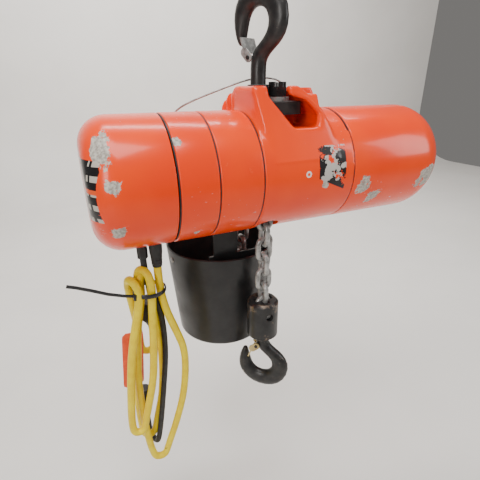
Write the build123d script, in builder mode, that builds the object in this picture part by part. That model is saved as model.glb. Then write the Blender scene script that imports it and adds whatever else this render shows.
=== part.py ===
"""Electric chain hoist: tubular casing, top hook, load hook, chain container and its tied cords.

The frame's origin is the saddle of the top hook. +Z is up and +X runs along the casing, millimetres.
"""
import math
import os

from build123d import *

os.makedirs("parts", exist_ok=True)

# ---- driving dimensions ----
casing_radius = 65.0
casing_wall = 5.0
axis_y, axis_z = 8.0, -158.0        # the casing's axis, parallel to X
left_end, seam_1, seam_2, seam_3, seam_4, right_end = -179.5, -104.2, -65.7, -20.0, 89.2, 241.0
left_corner, right_corner = 28.0, 45.0
gasket = 1.2                        # space that each seam leaves for its gasket

chain_wire, chain_pitch, link_half_width = 6.3, 19.1, 10.65
chain_play = 0.1
chain_x = -2.0                      # the plane that the chain runs in
wheel_links = 10                    # links round the load wheel: five pockets
slack_count = 10                    # links that hang on the slack side

hook_bowl = 14.5                    # inner radius of both hooks
hook_thickness = 15.0
shank_radius = 8.0
top_hook_turn, load_hook_turn = -70.0, -45.0

block_radius = 19.0
block_top, block_bottom = -310.0, -362.0
block_y_seam = 0.15                 # half the gap between the block's two halves

tub_x, tub_y = -23.0, 63.0          # chain container's axis
tub_top_radius, tub_bottom_radius = 71.0, 60.0
tub_top, tub_bottom = -258.0, -388.0
tub_wall = 2.5
tub_corner = 6.0

motor_shaft_radius = 6.0
gear_module = 1.0
pinion_teeth, first_teeth, second_teeth, output_teeth, limit_teeth = 10, 45, 12, 43, 37

supply_x, supply_y = -121.0, -2.0   # where the yellow cord leaves
control_x, control_y = -134.5, 2.0  # where the black cord leaves
supply_cord_radius, control_cord_radius = 4.5, 3.5
boot_end = -249.0
hank_top = -266.0

# ---- places worked out from them ----
half_step = math.radians(180.0 / wheel_links)
joint_radius = chain_pitch / (2 * math.sin(half_step))
centre_radius = chain_pitch / (2 * math.tan(half_step))
load_y, slack_y = axis_y - joint_radius, axis_y + joint_radius
casing_axis = Axis((0, axis_y, axis_z), (1, 0, 0))
casing = Plane(origin=(0, axis_y, axis_z), x_dir=(1, 0, 0), z_dir=(0, -1, 0))
second_shaft = gear_module * (pinion_teeth + first_teeth) / 2
limit_shaft = -gear_module * (output_teeth + limit_teeth) / 2


def keep(piece, name):
    """Label a finished piece and write it."""
    piece.part.label = name
    export_step(piece.part, f"parts/{name}.step")


def across(x, y=0.0, z=0.0):
    """A plane across the casing at x, centred y and z from the casing's axis."""
    return Plane(origin=(x, axis_y + y, axis_z + z), x_dir=(0, 1, 0), z_dir=(1, 0, 0))


def tube(start, end, outer, inner, y=0.0, z=0.0):
    """A ring or a disc along X, placed from the casing's axis."""
    with BuildPart() as ring:
        with BuildSketch(across(start, y, z)):
            Circle(outer)
            if inner > 0:
                Circle(inner, mode=Mode.SUBTRACT)
        extrude(amount=end - start)
    return ring


def cap_profile(end, seam, radius, corner):
    """Half section of a closed, round-cornered end cover."""
    side = 1 if seam > end else -1
    middle = corner * (1 - math.sqrt(0.5))
    with BuildSketch(casing) as half:
        with BuildLine():
            Line((end, 0), (end, radius - corner))
            ThreePointArc((end, radius - corner), (end + side * middle, radius - middle),
                          (end + side * corner, radius))
            Polyline((end + side * corner, radius), (seam, radius), (seam, 0), (end, 0))
        make_face()
    return half.sketch


def gear_profile(place, teeth, turn):
    """Straight-sided gear outline with a tooth at turn degrees."""
    pitch = 2 * math.pi / teeth
    root, tip = gear_module * (teeth / 2 - 1.25), gear_module * (teeth / 2 + 0.75)
    outline = []
    for tooth in range(teeth):
        middle = math.radians(turn) + tooth * pitch
        for radius, share in ((root, -0.28), (tip, -0.11), (tip, 0.11), (root, 0.28)):
            angle = middle + share * pitch
            outline.append((radius * math.cos(angle), radius * math.sin(angle)))
    with BuildSketch(place) as face:
        with BuildLine():
            Polyline(*outline, close=True)
        make_face()
    return face.sketch


def chain_link(place):
    """One closed link: its length along the plane's x, its width along the plane's y."""
    side = link_half_width - chain_wire / 2
    straight = (chain_pitch + chain_wire + chain_play) / 2 - side
    with BuildPart() as link:
        with BuildLine(place) as loop:
            Line((-straight, side), (straight, side))
            ThreePointArc((straight, side), (straight + side, 0), (straight, -side))
            Line((straight, -side), (-straight, -side))
            ThreePointArc((-straight, -side), (-straight - side, 0), (-straight, side))
        with BuildSketch(Plane(origin=loop.line @ 0, z_dir=loop.line % 0)):
            Circle(chain_wire / 2)
        sweep()
    return link.part


def hanging_link(y, joint, index):
    """Link number index of a straight run that starts at height joint."""
    across_link = (1, 0, 0) if index % 2 == 0 else (0, 1, 0)
    middle = joint - (index + 0.5) * chain_pitch
    normal = Vector(0, 0, -1).cross(Vector(*across_link))
    return chain_link(Plane(origin=(chain_x, y, middle), x_dir=(0, 0, -1), z_dir=tuple(normal)))


def hook_plane(bowl_z, x, y, turn, shank_up):
    """Plane of a hook: its y points along the shank, its -x at the tip."""
    along = Vector(math.cos(math.radians(turn)), math.sin(math.radians(turn)), 0)
    shank = Vector(0, 0, 1 if shank_up else -1)
    return Plane(origin=(x, y, bowl_z), x_dir=tuple(along), z_dir=tuple(along.cross(shank)))


def hook_profile(place):
    """Outline of a forged hook round its bowl, up to the start of the shank."""
    with BuildSketch(place) as face:
        with BuildLine():
            Spline((8, 35), (14, 28), (26.5, 19.5), (37, 2), (31, -23), (6, -38), (-19, -31.5),
                   (-32, -9), (-29.7, 8), (-25.5, 17), tangents=[(0.1, -1), (0.15, 1)])
            ThreePointArc((-25.5, 17), (-22.6, 19.2), (-19.8, 17))
            Spline((-19.8, 17), (-17.2, 8), (-hook_bowl, 0), (0, -hook_bowl), (hook_bowl, 0),
                   (8.5, 13), (-4, 22), (-8, 35), tangents=[(0.2, -1), (-0.1, 1)])
            Line((-8, 35), (8, 35))
        make_face()
    return face.sketch


def lean_bar(place, start, end, width):
    """Round-ended strip in a hook's plane, from start to end."""
    middle = ((start[0] + end[0]) / 2, (start[1] + end[1]) / 2)
    lean = math.degrees(math.atan2(end[1] - start[1], end[0] - start[0]))
    reach = math.hypot(end[0] - start[0], end[1] - start[1])
    with BuildSketch(place) as face:
        with Locations(Location(middle, lean)):
            SlotCenterToCenter(reach, width)
    return face.sketch


# ---- casing shells ----
control_outer = cap_profile(left_end, seam_1 - gasket / 2, casing_radius, left_corner)
control_inner = cap_profile(left_end + casing_wall, seam_1, casing_radius - casing_wall,
                            left_corner - casing_wall)
motor_outer = cap_profile(right_end, seam_4 + gasket / 2, casing_radius, right_corner)
motor_inner = cap_profile(right_end - casing_wall, seam_4, casing_radius - casing_wall,
                          right_corner - casing_wall)
gland_length = 12.0

with BuildPart() as control_cover:
    revolve(control_outer, axis=casing_axis)
    revolve(control_inner, axis=casing_axis, mode=Mode.SUBTRACT)
    with BuildSketch(Plane.XY.offset(axis_z - casing_radius - gland_length)):
        for x, y, radius in ((supply_x, supply_y, 4.7), (control_x, control_y, 3.7)):
            with Locations((x, y)):
                Circle(radius)
    extrude(amount=gland_length + 25, mode=Mode.SUBTRACT)
keep(control_cover, "control_cover")

with BuildPart() as motor_cover:
    revolve(motor_outer, axis=casing_axis)
    revolve(motor_inner, axis=casing_axis, mode=Mode.SUBTRACT)
keep(motor_cover, "motor_cover")

clutch_ring = tube(seam_1 + gasket / 2, seam_2 - gasket / 2, casing_radius, casing_radius - casing_wall)
keep(clutch_ring, "clutch_ring")

gear_ring = tube(seam_2 + gasket / 2, seam_3 - gasket / 2, casing_radius, casing_radius - casing_wall)
keep(gear_ring, "gear_ring")

with BuildPart() as casing_gaskets:
    for seam in (seam_1, seam_2, seam_3, seam_4):
        with BuildSketch(across(seam - gasket / 2)):
            Circle(casing_radius - 0.8)
            Circle(casing_radius - casing_wall, mode=Mode.SUBTRACT)
        extrude(amount=gasket)
keep(casing_gaskets, "casing_gaskets")

# ---- centre housing with its crown, window and rear fins ----
crown_top = -70.0
crown_outline = [(-19, crown_top), (34, crown_top), (43, -77), (58, -92), (65, -106), (73, -140), (-10, -140)]
crown_section = [(-55, -140), (-25, crown_top), (22, crown_top), (34, -80), (44, -140)]
window_outline = [(-1, -60), (21, -60), (22, -79), (40, -84), (53, -97), (49, -109.5), (21, -109.5),
                  (-2, -80)]
cavity_left, cavity_right = -13.0, 56.0
cavity_section = [(-17, -60), (-17, crown_top), (-33.5, -111), (16, -111), (16, -60)]
cavity_outline = [(cavity_left, -60), (36.5, -60), (36.5, -75), (46, -86), (cavity_right, -98),
                  (cavity_right, -115), (cavity_left, -115)]
shelf_section = [(-21, -78), (-38, -115), (20, -115), (20, -78)]
fins = [(25.5, -71.5), (39, -77), (52.5, -85), (65, -97)]  # each fin's front face and top
fin_thickness, fin_corner = 2.6, 7.0
chain_hole, chain_hole_depth = 14.0, 42.0

with BuildPart() as crown:
    with BuildSketch(Plane.YZ.offset(-20)):
        with BuildLine():
            Polyline(*crown_section, close=True)
        make_face()
    extrude(amount=92)
    with BuildSketch(Plane.XZ):
        with BuildLine():
            Polyline(*crown_outline, close=True)
        make_face()
    extrude(amount=120, both=True, mode=Mode.INTERSECT)
    fillet(crown.edges().filter_by(lambda e: e.center().Z > -139), radius=3.5)

with BuildPart() as cavity:
    with BuildSketch(Plane.YZ.offset(cavity_left)):
        with BuildLine():
            Polyline(*cavity_section, close=True)
        make_face()
    extrude(amount=cavity_right - cavity_left)
    with BuildSketch(Plane.XZ):
        with BuildLine():
            Polyline(*cavity_outline, close=True)
        make_face()
    extrude(amount=120, both=True, mode=Mode.INTERSECT)

with BuildPart() as centre_housing:
    with BuildSketch(across(seam_3 + gasket / 2)):
        Circle(casing_radius)
    extrude(amount=seam_4 - seam_3 - gasket)
    add(crown.part)
    for fin_front, fin_top in fins:
        with BuildSketch(Plane.XZ.offset(-fin_front - fin_thickness)):
            with BuildLine():
                Polyline((seam_3 + 1, axis_z), (seam_3 + 1, fin_top - fin_corner), (seam_3 + 5, fin_top),
                         (seam_4 - 5, fin_top), (seam_4 - 1, fin_top - fin_corner), (seam_4 - 1, axis_z),
                         close=True)
            make_face()
        extrude(amount=fin_thickness)
    with BuildSketch(across(seam_3)):
        Circle(casing_radius - casing_wall)
    extrude(amount=seam_4 - seam_3, mode=Mode.SUBTRACT)
    with BuildSketch(Plane.YZ.offset(cavity_left - 4)):
        with BuildLine():
            Polyline(*shelf_section, close=True)
        make_face()
    extrude(amount=cavity_right - cavity_left + 8)
    add(cavity.part, mode=Mode.SUBTRACT)
    with BuildSketch(Plane.XZ.offset(-5)):
        with BuildLine():
            Polyline(*window_outline, close=True)
        make_face()
    extrude(amount=70, mode=Mode.SUBTRACT)
    with BuildSketch(Plane.XY.offset(axis_z - casing_radius - 5)):
        with Locations((chain_x, load_y), (chain_x, slack_y)):
            Circle(chain_hole)
    extrude(amount=chain_hole_depth, mode=Mode.SUBTRACT)
keep(centre_housing, "centre_housing")

# ---- suspension: crosshead, stud, castle nut, washer, top hook and its latch ----
crosshead_bottom, crosshead_top = -98.0, -85.0
stud_x = 22.5

with BuildPart() as crosshead:
    with BuildSketch(Plane.XY.offset(crosshead_bottom)):
        with Locations((15, -4)):
            RectangleRounded(54, 32, 4)
        Circle(shank_radius + 0.3, mode=Mode.SUBTRACT)
        with Locations((stud_x, 0)):
            Circle(6.05, mode=Mode.SUBTRACT)
    extrude(amount=crosshead_top - crosshead_bottom)
    with BuildSketch(Plane.YZ.offset(-20)):
        with BuildLine():
            Polyline(*cavity_section, close=True)
        make_face()
    extrude(amount=90, mode=Mode.INTERSECT)
    chamfer(crosshead.edges().group_by(Axis.Z)[-1], 0.8)
keep(crosshead, "crosshead")

with BuildPart() as suspension_stud:
    with BuildSketch(Plane.XY.offset(-106)):
        with Locations((stud_x, 0)):
            Circle(6.0)
    extrude(amount=39)
    with BuildSketch(Plane.XY.offset(-106)):
        with Locations((stud_x, 0)):
            RegularPolygon(10, 6)
    extrude(amount=7.6)
keep(suspension_stud, "suspension_stud")

with BuildPart() as stud_washer:
    with BuildSketch(Plane.XY.offset(crosshead_top + 0.05)):
        with Locations((stud_x, 0)):
            Circle(13.0)
            Circle(6.3, mode=Mode.SUBTRACT)
    extrude(amount=4)
keep(stud_washer, "stud_washer")

nut_bottom, nut_top = -80.4, -66.5
with BuildPart() as castle_nut:
    with BuildSketch(Plane.XY.offset(nut_bottom)):
        with Locations((stud_x, 0)):
            RegularPolygon(11.2, 6)
            Circle(6.0, mode=Mode.SUBTRACT)
    extrude(amount=nut_top - nut_bottom)
    with BuildSketch(Plane.XY.offset(nut_top - 5)):
        with Locations((stud_x, 0)):
            Circle(14)
            Circle(9.3, mode=Mode.SUBTRACT)
    extrude(amount=6, mode=Mode.SUBTRACT)
    with BuildSketch(Plane.XY.offset(nut_top - 4.5)):
        for angle in (0, 60, 120):
            with Locations(Location((stud_x, 0), angle)):
                Rectangle(30, 2.6)
    extrude(amount=6, mode=Mode.SUBTRACT)
keep(castle_nut, "castle_nut")

top_plane = hook_plane(-hook_bowl, 0, 0, top_hook_turn, shank_up=False)
top_face = hook_profile(top_plane)
with BuildPart() as top_hook:
    extrude(top_face, amount=hook_thickness / 2, both=True)
    with BuildSketch(Plane.XY.offset(-46)):
        Circle(shank_radius)
    extrude(amount=-52.4)
keep(top_hook, "top_hook")

with BuildPart() as hook_collar:
    with BuildSketch(Plane.XY.offset(-80.8)):
        Circle(11.0)
        Circle(shank_radius, mode=Mode.SUBTRACT)
    extrude(amount=11.8)
    chamfer(hook_collar.edges().group_by(Axis.Z)[-1], 0.8)
keep(hook_collar, "hook_collar")

with BuildPart() as hook_nut:
    with BuildSketch(Plane.XY.offset(-98.4)):
        Circle(10.0)
    extrude(amount=-9.5)
keep(hook_nut, "hook_nut")

latch_pivot, latch_bend, latch_tip = (-5.0, 30.0), (-10.5, 25.0), (-15.5, 12.0)
latch_half, latch_sheet, rivet_radius = 10.0, 1.6, 1.9

# ---- hook block, its pin and the load hook ----
pin_z = axis_z - 9 * chain_pitch + 3.3
head_top, head_bottom = block_bottom + 18.0, block_bottom + 10.5
load_bowl_drop, neck_length = 44.0, 10.0

with BuildPart() as block:
    with BuildSketch(Plane.XY.offset(block_bottom)):
        with Locations((chain_x, load_y)):
            Circle(block_radius)
    extrude(amount=block_top - block_bottom)
    chamfer(block.edges().group_by(Axis.Z)[-1], 3.0)
    chamfer(block.edges().group_by(Axis.Z)[0], 4.0)
    with BuildSketch(Plane.XY.offset(pin_z - 14)):
        with Locations((chain_x, load_y)):
            Rectangle(2 * link_half_width + 1.4, chain_wire + 1.6)
    extrude(amount=60, mode=Mode.SUBTRACT)
    with BuildSketch(Plane.XY.offset(block_top - 9)):
        with Locations((chain_x, load_y)):
            Rectangle(chain_wire + 1.6, 2 * link_half_width + 1.4)
    extrude(amount=20, mode=Mode.SUBTRACT)
    with BuildSketch(Plane.XY.offset(block_bottom - 1)):
        with Locations((chain_x, load_y)):
            Circle(shank_radius + 0.3)
    extrude(amount=12, mode=Mode.SUBTRACT)
    with BuildSketch(Plane.XY.offset(block_bottom + 7.5)):
        with Locations((chain_x, load_y)):
            Circle(13.2)
    extrude(amount=11, mode=Mode.SUBTRACT)
    with BuildSketch(Plane.XZ.offset(-load_y)):
        with Locations((chain_x, pin_z)):
            Circle(3.3)
    extrude(amount=30, both=True, mode=Mode.SUBTRACT)
    with BuildSketch(Plane.XZ.offset(-load_y + 15)):
        with Locations((chain_x, pin_z)):
            Circle(4.5)
    extrude(amount=12, mode=Mode.SUBTRACT)

with BuildPart() as hook_block_front:
    add(block.part)
    split(bisect_by=Plane.XZ.offset(-load_y + block_y_seam), keep=Keep.TOP)
keep(hook_block_front, "hook_block_front")

with BuildPart() as hook_block_rear:
    add(block.part)
    split(bisect_by=Plane.XZ.offset(-load_y - block_y_seam), keep=Keep.BOTTOM)
keep(hook_block_rear, "hook_block_rear")

with BuildPart() as load_pin:
    with BuildSketch(Plane.XZ.offset(-load_y - 14)):
        with Locations((chain_x, pin_z)):
            Circle(3.2)
    extrude(amount=28.5)
keep(load_pin, "load_pin")

with BuildPart() as hook_bearing:
    with BuildSketch(Plane.XY.offset(block_bottom + 7.6)):
        with Locations((chain_x, load_y)):
            Circle(12.8)
            Circle(shank_radius + 0.5, mode=Mode.SUBTRACT)
    extrude(amount=2.6)
keep(hook_bearing, "hook_bearing")

load_plane = hook_plane(block_bottom - load_bowl_drop, chain_x, load_y, load_hook_turn, shank_up=True)
load_face = hook_profile(load_plane)
with BuildPart() as load_hook:
    extrude(load_face, amount=hook_thickness / 2, both=True)
    with BuildSketch(Plane.XY.offset(block_bottom - neck_length)):
        with Locations((chain_x, load_y)):
            Circle(shank_radius)
    extrude(amount=neck_length + head_bottom - block_bottom + 1)
    with BuildSketch(Plane.XY.offset(head_bottom)):
        with Locations((chain_x, load_y)):
            Circle(12.6)
    extrude(amount=head_top - head_bottom)
keep(load_hook, "load_hook")

for name, place in (("top_latch", top_plane), ("load_latch", load_plane)):
    cheek = lean_bar(place, latch_pivot, latch_bend, 8.6)
    tongue = lean_bar(place, latch_bend, latch_tip, latch_sheet)
    pivot_plane = Plane(origin=place.from_local_coords(Vector(*latch_pivot, 0)),
                        x_dir=place.x_dir, z_dir=place.z_dir)
    with BuildPart() as latch:
        extrude(cheek, amount=latch_half, both=True)
        extrude(cheek, amount=latch_half - latch_sheet, both=True, mode=Mode.SUBTRACT)
        extrude(tongue, amount=latch_half - 0.2, both=True)
        with BuildSketch(pivot_plane):
            Circle(rivet_radius + 0.1)
        extrude(amount=latch_half + 1, both=True, mode=Mode.SUBTRACT)
    keep(latch, name)
    with BuildPart() as rivet:
        with BuildSketch(pivot_plane):
            Circle(rivet_radius)
        extrude(amount=latch_half + 1.2, both=True)
    keep(rivet, name + "_rivet")

# ---- chain and load wheel ----
load_links = [hanging_link(load_y, axis_z, index) for index in range(1, 9)]
with BuildPart() as load_chain:
    add(load_links)
keep(load_chain, "load_chain")

wheel_chain = []
for index in range(wheel_links // 2):
    angle = half_step + index * 2 * half_step
    middle = (chain_x, axis_y - centre_radius * math.cos(angle), axis_z + centre_radius * math.sin(angle))
    along = Vector(0, math.sin(angle), math.cos(angle))
    outward = Vector(0, -math.cos(angle), math.sin(angle))
    normal = along.cross(outward) if index % 2 == 0 else outward
    wheel_chain.append(chain_link(Plane(origin=middle, x_dir=tuple(along), z_dir=tuple(normal))))
slack_links = [hanging_link(slack_y, axis_z, index) for index in range(0, slack_count)]
with BuildPart() as slack_chain:
    add(wheel_chain + slack_links)
keep(slack_chain, "slack_chain")

wheel_left, wheel_right = -18.0, 14.0
sleeve_radius, sleeve_length = 11.0, 113.0
with BuildPart() as load_wheel:
    with BuildSketch(casing):
        with BuildLine():
            Polyline((wheel_left, 0), (wheel_left, 25.5), (chain_x - 5, 25.5), (chain_x - 5, 17.5),
                     (chain_x + 5, 17.5), (chain_x + 5, 25.5), (wheel_right, 25.5), (wheel_right, 0),
                     close=True)
        make_face()
    revolve(axis=casing_axis)
    with BuildSketch(across(-45)):
        Circle(sleeve_radius)
    extrude(amount=sleeve_length)
    with BuildSketch(across(-46)):
        Circle(motor_shaft_radius + 1.5)
    extrude(amount=sleeve_length + 2, mode=Mode.SUBTRACT)
    for index in range(wheel_links // 2):
        angle = 2 * half_step * (2 * index + 1)
        rim = Plane(origin=(chain_x, axis_y + 24 * math.cos(angle), axis_z + 24 * math.sin(angle)),
                    x_dir=(1, 0, 0), z_dir=(0, math.cos(angle), math.sin(angle)))
        with BuildSketch(rim):
            SlotOverall(24, 14)
        extrude(amount=4, mode=Mode.SUBTRACT)
keep(load_wheel, "load_wheel")

with BuildPart() as chain_guide:
    with BuildSketch(Plane.XY.offset(axis_z - 58)):
        with Locations((chain_x, axis_y)):
            Rectangle(34, 2 * joint_radius + 32)
        with Locations((chain_x, load_y), (chain_x, slack_y)):
            Circle(12.5, mode=Mode.SUBTRACT)
        with Locations((chain_x, axis_y)):
            Rectangle(36, 12, mode=Mode.SUBTRACT)
    extrude(amount=20)
    with BuildSketch(across(-30)):
        Circle(casing_radius - casing_wall - 0.1)
    extrude(amount=60, mode=Mode.INTERSECT)
keep(chain_guide, "chain_guide")

# ---- gears, shafts and bearings ----
with BuildPart() as output_gear:
    extrude(gear_profile(across(-44), output_teeth, 180 / output_teeth), amount=10)
    with BuildSketch(across(-44)):
        Circle(11)
    extrude(amount=10, mode=Mode.SUBTRACT)
keep(output_gear, "output_gear")

with BuildPart() as intermediate_gear:
    extrude(gear_profile(across(-57, second_shaft), first_teeth, 180 + 180 / first_teeth), amount=6)
    with BuildSketch(across(-57, second_shaft)):
        Circle(3.5)
    extrude(amount=6, mode=Mode.SUBTRACT)
keep(intermediate_gear, "intermediate_gear")

with BuildPart() as intermediate_shaft:
    extrude(gear_profile(across(-45, second_shaft), second_teeth, 180), amount=12)
    with BuildSketch(across(-65, second_shaft)):
        Circle(3.5)
    extrude(amount=47)
keep(intermediate_shaft, "intermediate_shaft")

with BuildPart() as motor_pinion:
    extrude(gear_profile(across(-58), pinion_teeth, 0), amount=8)
    with BuildSketch(across(-58)):
        Circle(2.8)
    extrude(amount=8, mode=Mode.SUBTRACT)
keep(motor_pinion, "motor_pinion")

with BuildPart() as motor_shaft:
    with BuildSketch(across(-64)):
        Circle(2.8)
    extrude(amount=20)
    with BuildSketch(across(-48)):
        Circle(motor_shaft_radius)
    extrude(amount=266)
keep(motor_shaft, "motor_shaft")

with BuildPart() as limit_screw:
    extrude(gear_profile(across(-42, limit_shaft), limit_teeth, 180 / limit_teeth), amount=6)
    with BuildSketch(across(-99, limit_shaft)):
        Circle(3)
    extrude(amount=78)
keep(limit_screw, "limit_screw")

with BuildPart() as limit_nuts:
    for start in (-94, -78):
        with BuildSketch(across(start, limit_shaft)):
            RegularPolygon(8, 6)
            Circle(3.1, mode=Mode.SUBTRACT)
        extrude(amount=5)
keep(limit_nuts, "limit_nuts")

with BuildPart() as limit_switches:
    for start in (-99.6, -73):
        with BuildSketch(across(start, limit_shaft, 17)):
            Rectangle(14, 14)
        extrude(amount=6)
keep(limit_switches, "limit_switches")


shaft_hole = (second_shaft, 3.55)
screw_hole = (limit_shaft, 3.3)
plates = [(-24, -19, [(0, 14.1), shaft_hole, screw_hole]), (-66, -61, [(0, 4), shaft_hole, screw_hole]),
          (63, 68, [(0, 14.1)]), (84, 89, [(0, 12.1)]), (-103.5, -100.5, [(30, 6)])]
with BuildPart() as bearing_plates:
    for start, end, holes in plates:
        with BuildSketch(across(start)):
            Circle(casing_radius - casing_wall - 0.1)
            for y, radius in holes:
                with Locations((y, 0)):
                    Circle(radius, mode=Mode.SUBTRACT)
        extrude(amount=end - start)
keep(bearing_plates, "bearing_plates")

with BuildPart() as bearings:
    for start, outer, inner in ((-24, 14, 11.05), (63, 14, 11.05), (84, 12, 6.05)):
        with BuildSketch(across(start)):
            Circle(outer)
            Circle(inner, mode=Mode.SUBTRACT)
        extrude(amount=5)
keep(bearings, "bearings")

# ---- motor, fan and brake ----
stator_core = tube(105, 180, 59.0, 36.0)
keep(stator_core, "stator_core")
with BuildPart() as stator_windings:
    for start in (92, 180.1):
        with BuildSketch(across(start)):
            Circle(54)
            Circle(38, mode=Mode.SUBTRACT)
        extrude(amount=12.8)
    fillet(stator_windings.edges(), 3)
keep(stator_windings, "stator_windings")
rotor_core = tube(105, 180, 35.4, motor_shaft_radius)
keep(rotor_core, "rotor_core")

with BuildPart() as cooling_fan:
    with BuildSketch(across(199)):
        Circle(14)
        Circle(motor_shaft_radius, mode=Mode.SUBTRACT)
    extrude(amount=8)
    for blade in range(8):
        turn = math.radians(45 * blade)
        place = Plane(origin=(199, axis_y + 24 * math.cos(turn), axis_z + 24 * math.sin(turn)),
                      x_dir=(0, math.cos(turn), math.sin(turn)), z_dir=(1, 0, 0))
        with BuildSketch(place):
            Rectangle(26, 2.4)
        extrude(amount=8)
keep(cooling_fan, "cooling_fan")

brake_disc = tube(212, 216, 33.0, motor_shaft_radius)
keep(brake_disc, "brake_disc")
brake_armature = tube(216.5, 219.5, 33.0, 9.0)
keep(brake_armature, "brake_armature")
brake_coil = tube(220.5, 230.5, 33.0, 9.0)
keep(brake_coil, "brake_coil")

# ---- controls in the left cover ----
with BuildPart() as capacitor:
    with BuildSketch(across(-160, -30, 18)):
        Circle(15)
    extrude(amount=56.4)
    fillet(capacitor.edges(), 1.5)
keep(capacitor, "capacitor")

with BuildPart() as contactor:
    with BuildSketch(across(-146, 24, 14)):
        Rectangle(42, 46)
    extrude(amount=42.4)
    with BuildSketch(across(-148, 24, 14)):
        with GridLocations(12, 34, 3, 2):
            Circle(3)
    extrude(amount=3)
keep(contactor, "contactor")

tie_angles = (45, 135, 225, 315)
with BuildPart() as tie_bolts:
    with BuildSketch(across(-99.5)):
        for angle in tie_angles:
            turn = math.radians(angle)
            with Locations((56.8 * math.cos(turn), 56.8 * math.sin(turn))):
                Circle(2.5)
    extrude(amount=33)
keep(tie_bolts, "tie_bolts")

# ---- chain container, its bracket and its screws ----
with BuildPart() as chain_container:
    with BuildSketch(Plane(origin=(tub_x, tub_y, 0), x_dir=(1, 0, 0), z_dir=(0, -1, 0))):
        with BuildLine():
            Polyline((0, tub_bottom), (tub_bottom_radius - tub_corner, tub_bottom),
                     (tub_bottom_radius, tub_bottom + tub_corner),
                     (tub_top_radius, tub_top), (tub_top_radius - tub_wall, tub_top),
                     (tub_bottom_radius - tub_wall, tub_bottom + tub_corner + 1),
                     (tub_bottom_radius - tub_wall - tub_corner, tub_bottom + 3), (0, tub_bottom + 3),
                     close=True)
        make_face()
    revolve(axis=Axis((tub_x, tub_y, 0), (0, 0, 1)))
keep(chain_container, "chain_container")

bar_front, bar_rear = 7.0, 10.0
bar_bottom, bar_top = tub_top - 12.0, tub_top + 2.0
with BuildPart() as container_bracket:
    with BuildSketch(Plane.XZ.offset(-bar_rear)):
        with BuildLine():
            Polyline((-58, bar_bottom), (12, bar_bottom), (12, bar_top), (-22, bar_top),
                     (-22, axis_z - casing_radius), (-52, axis_z - casing_radius), (-52, bar_top),
                     (-58, bar_top), close=True)
        make_face()
    extrude(amount=bar_rear - bar_front)
    fillet(container_bracket.edges().filter_by(Axis.Y), 1.5)
keep(container_bracket, "container_bracket")

pile_radius, pile_height = 50.0, 26.0
with BuildPart() as chain_pile:
    with BuildSketch(Plane(origin=(tub_x, tub_y, tub_bottom + 3.1), x_dir=(1, 0, 0), z_dir=(0, -1, 0))):
        with BuildLine():
            Line((0, 0), (pile_radius, 0))
            Spline((pile_radius, 0), (pile_radius - 2, pile_height * 0.55), (pile_radius * 0.5, pile_height),
                   (0, pile_height), tangents=[(0.3, 1), (-1, 0)])
            Line((0, pile_height), (0, 0))
        make_face()
    revolve(axis=Axis((tub_x, tub_y, 0), (0, 0, 1)))
keep(chain_pile, "chain_pile")

# ---- steady wire over the crown ----
wire_route = [(38.8, 14, -69.6), (30, 14, -64), (14.5, 14, -62.1), (-7.2, 14, -64.5), (-43, 18, -76),
              (-66, 26, -85), (-78, 40, -92), (-82, 52, -106)]
wire_radius = 1.0
with BuildPart() as steady_wire:
    with BuildLine() as wire_path:
        FilletPolyline(*wire_route, radius=6)
    with BuildSketch(Plane(origin=wire_path.line @ 0, z_dir=wire_path.line % 0)):
        Circle(wire_radius)
    sweep()
keep(steady_wire, "steady_wire")

# ---- glands, cords, tied hank and what is on it ----
gland_top = axis_z - math.sqrt(casing_radius ** 2 - 12 ** 2)
with BuildPart() as cord_boot:
    with BuildSketch(Plane.XY.offset(gland_top - 1.5)):
        with Locations((supply_x, supply_y)):
            Circle(7.6)
    with BuildSketch(Plane.XY.offset(boot_end)):
        with Locations((supply_x, supply_y)):
            Circle(5.6)
    loft()
    with BuildSketch(Plane.XY.offset(boot_end)):
        with Locations((supply_x, supply_y)):
            Circle(supply_cord_radius)
    extrude(amount=6, mode=Mode.SUBTRACT)
keep(cord_boot, "cord_boot")

control_gland_end = -238.0
with BuildPart() as control_gland:
    with BuildSketch(Plane.XY.offset(control_gland_end)):
        with Locations((control_x, control_y)):
            RegularPolygon(5.6, 6)
    extrude(amount=gland_top - 1.5 - control_gland_end)
keep(control_gland, "control_gland")

for name, x, y, start, radius in (("supply_cord", supply_x, supply_y, boot_end + 6, supply_cord_radius),
                                  ("control_cord", control_x, control_y, control_gland_end,
                                   control_cord_radius)):
    with BuildPart() as lead:
        with BuildSketch(Plane.XY.offset(hank_top)):
            with Locations((x, y)):
                Circle(radius)
        extrude(amount=start - hank_top)
    keep(lead, name)

hank_y = 5.0
hank_sections = [(hank_top, -129.0, 14.0, 10.0), (-300, -130, 24, 13), (-350, -131, 36, 15),
                 (-410, -134, 38, 16), (-470, -140, 35, 15), (-515, -141, 24, 13), (-539, -140, 12, 9)]
with BuildPart() as cord_hank:
    for height, x, wide, deep in hank_sections:
        with BuildSketch(Plane.XY.offset(height)):
            with Locations((x, hank_y)):
                Ellipse(wide, deep)
    loft()
keep(cord_hank, "cord_hank")

tie_z = hank_top + 3.0
with BuildPart() as cable_tie:
    with BuildSketch(Plane.XY.offset(tie_z - 2)):
        with Locations((-128.0, 0.0)):
            SlotOverall(30, 18)
            SlotOverall(27, 15, mode=Mode.SUBTRACT)
    extrude(amount=4)
    with BuildSketch(Plane.XZ.offset(3)):
        with BuildLine():
            Polyline((-142.5, tie_z - 2.5), (-142.5, tie_z + 2.5), (-148, tie_z + 2.5), (-211.5, -247.5),
                     (-212, -250), (-148, tie_z - 2.5), close=True)
        make_face()
    extrude(amount=-1.2)
keep(cable_tie, "cable_tie")

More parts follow.
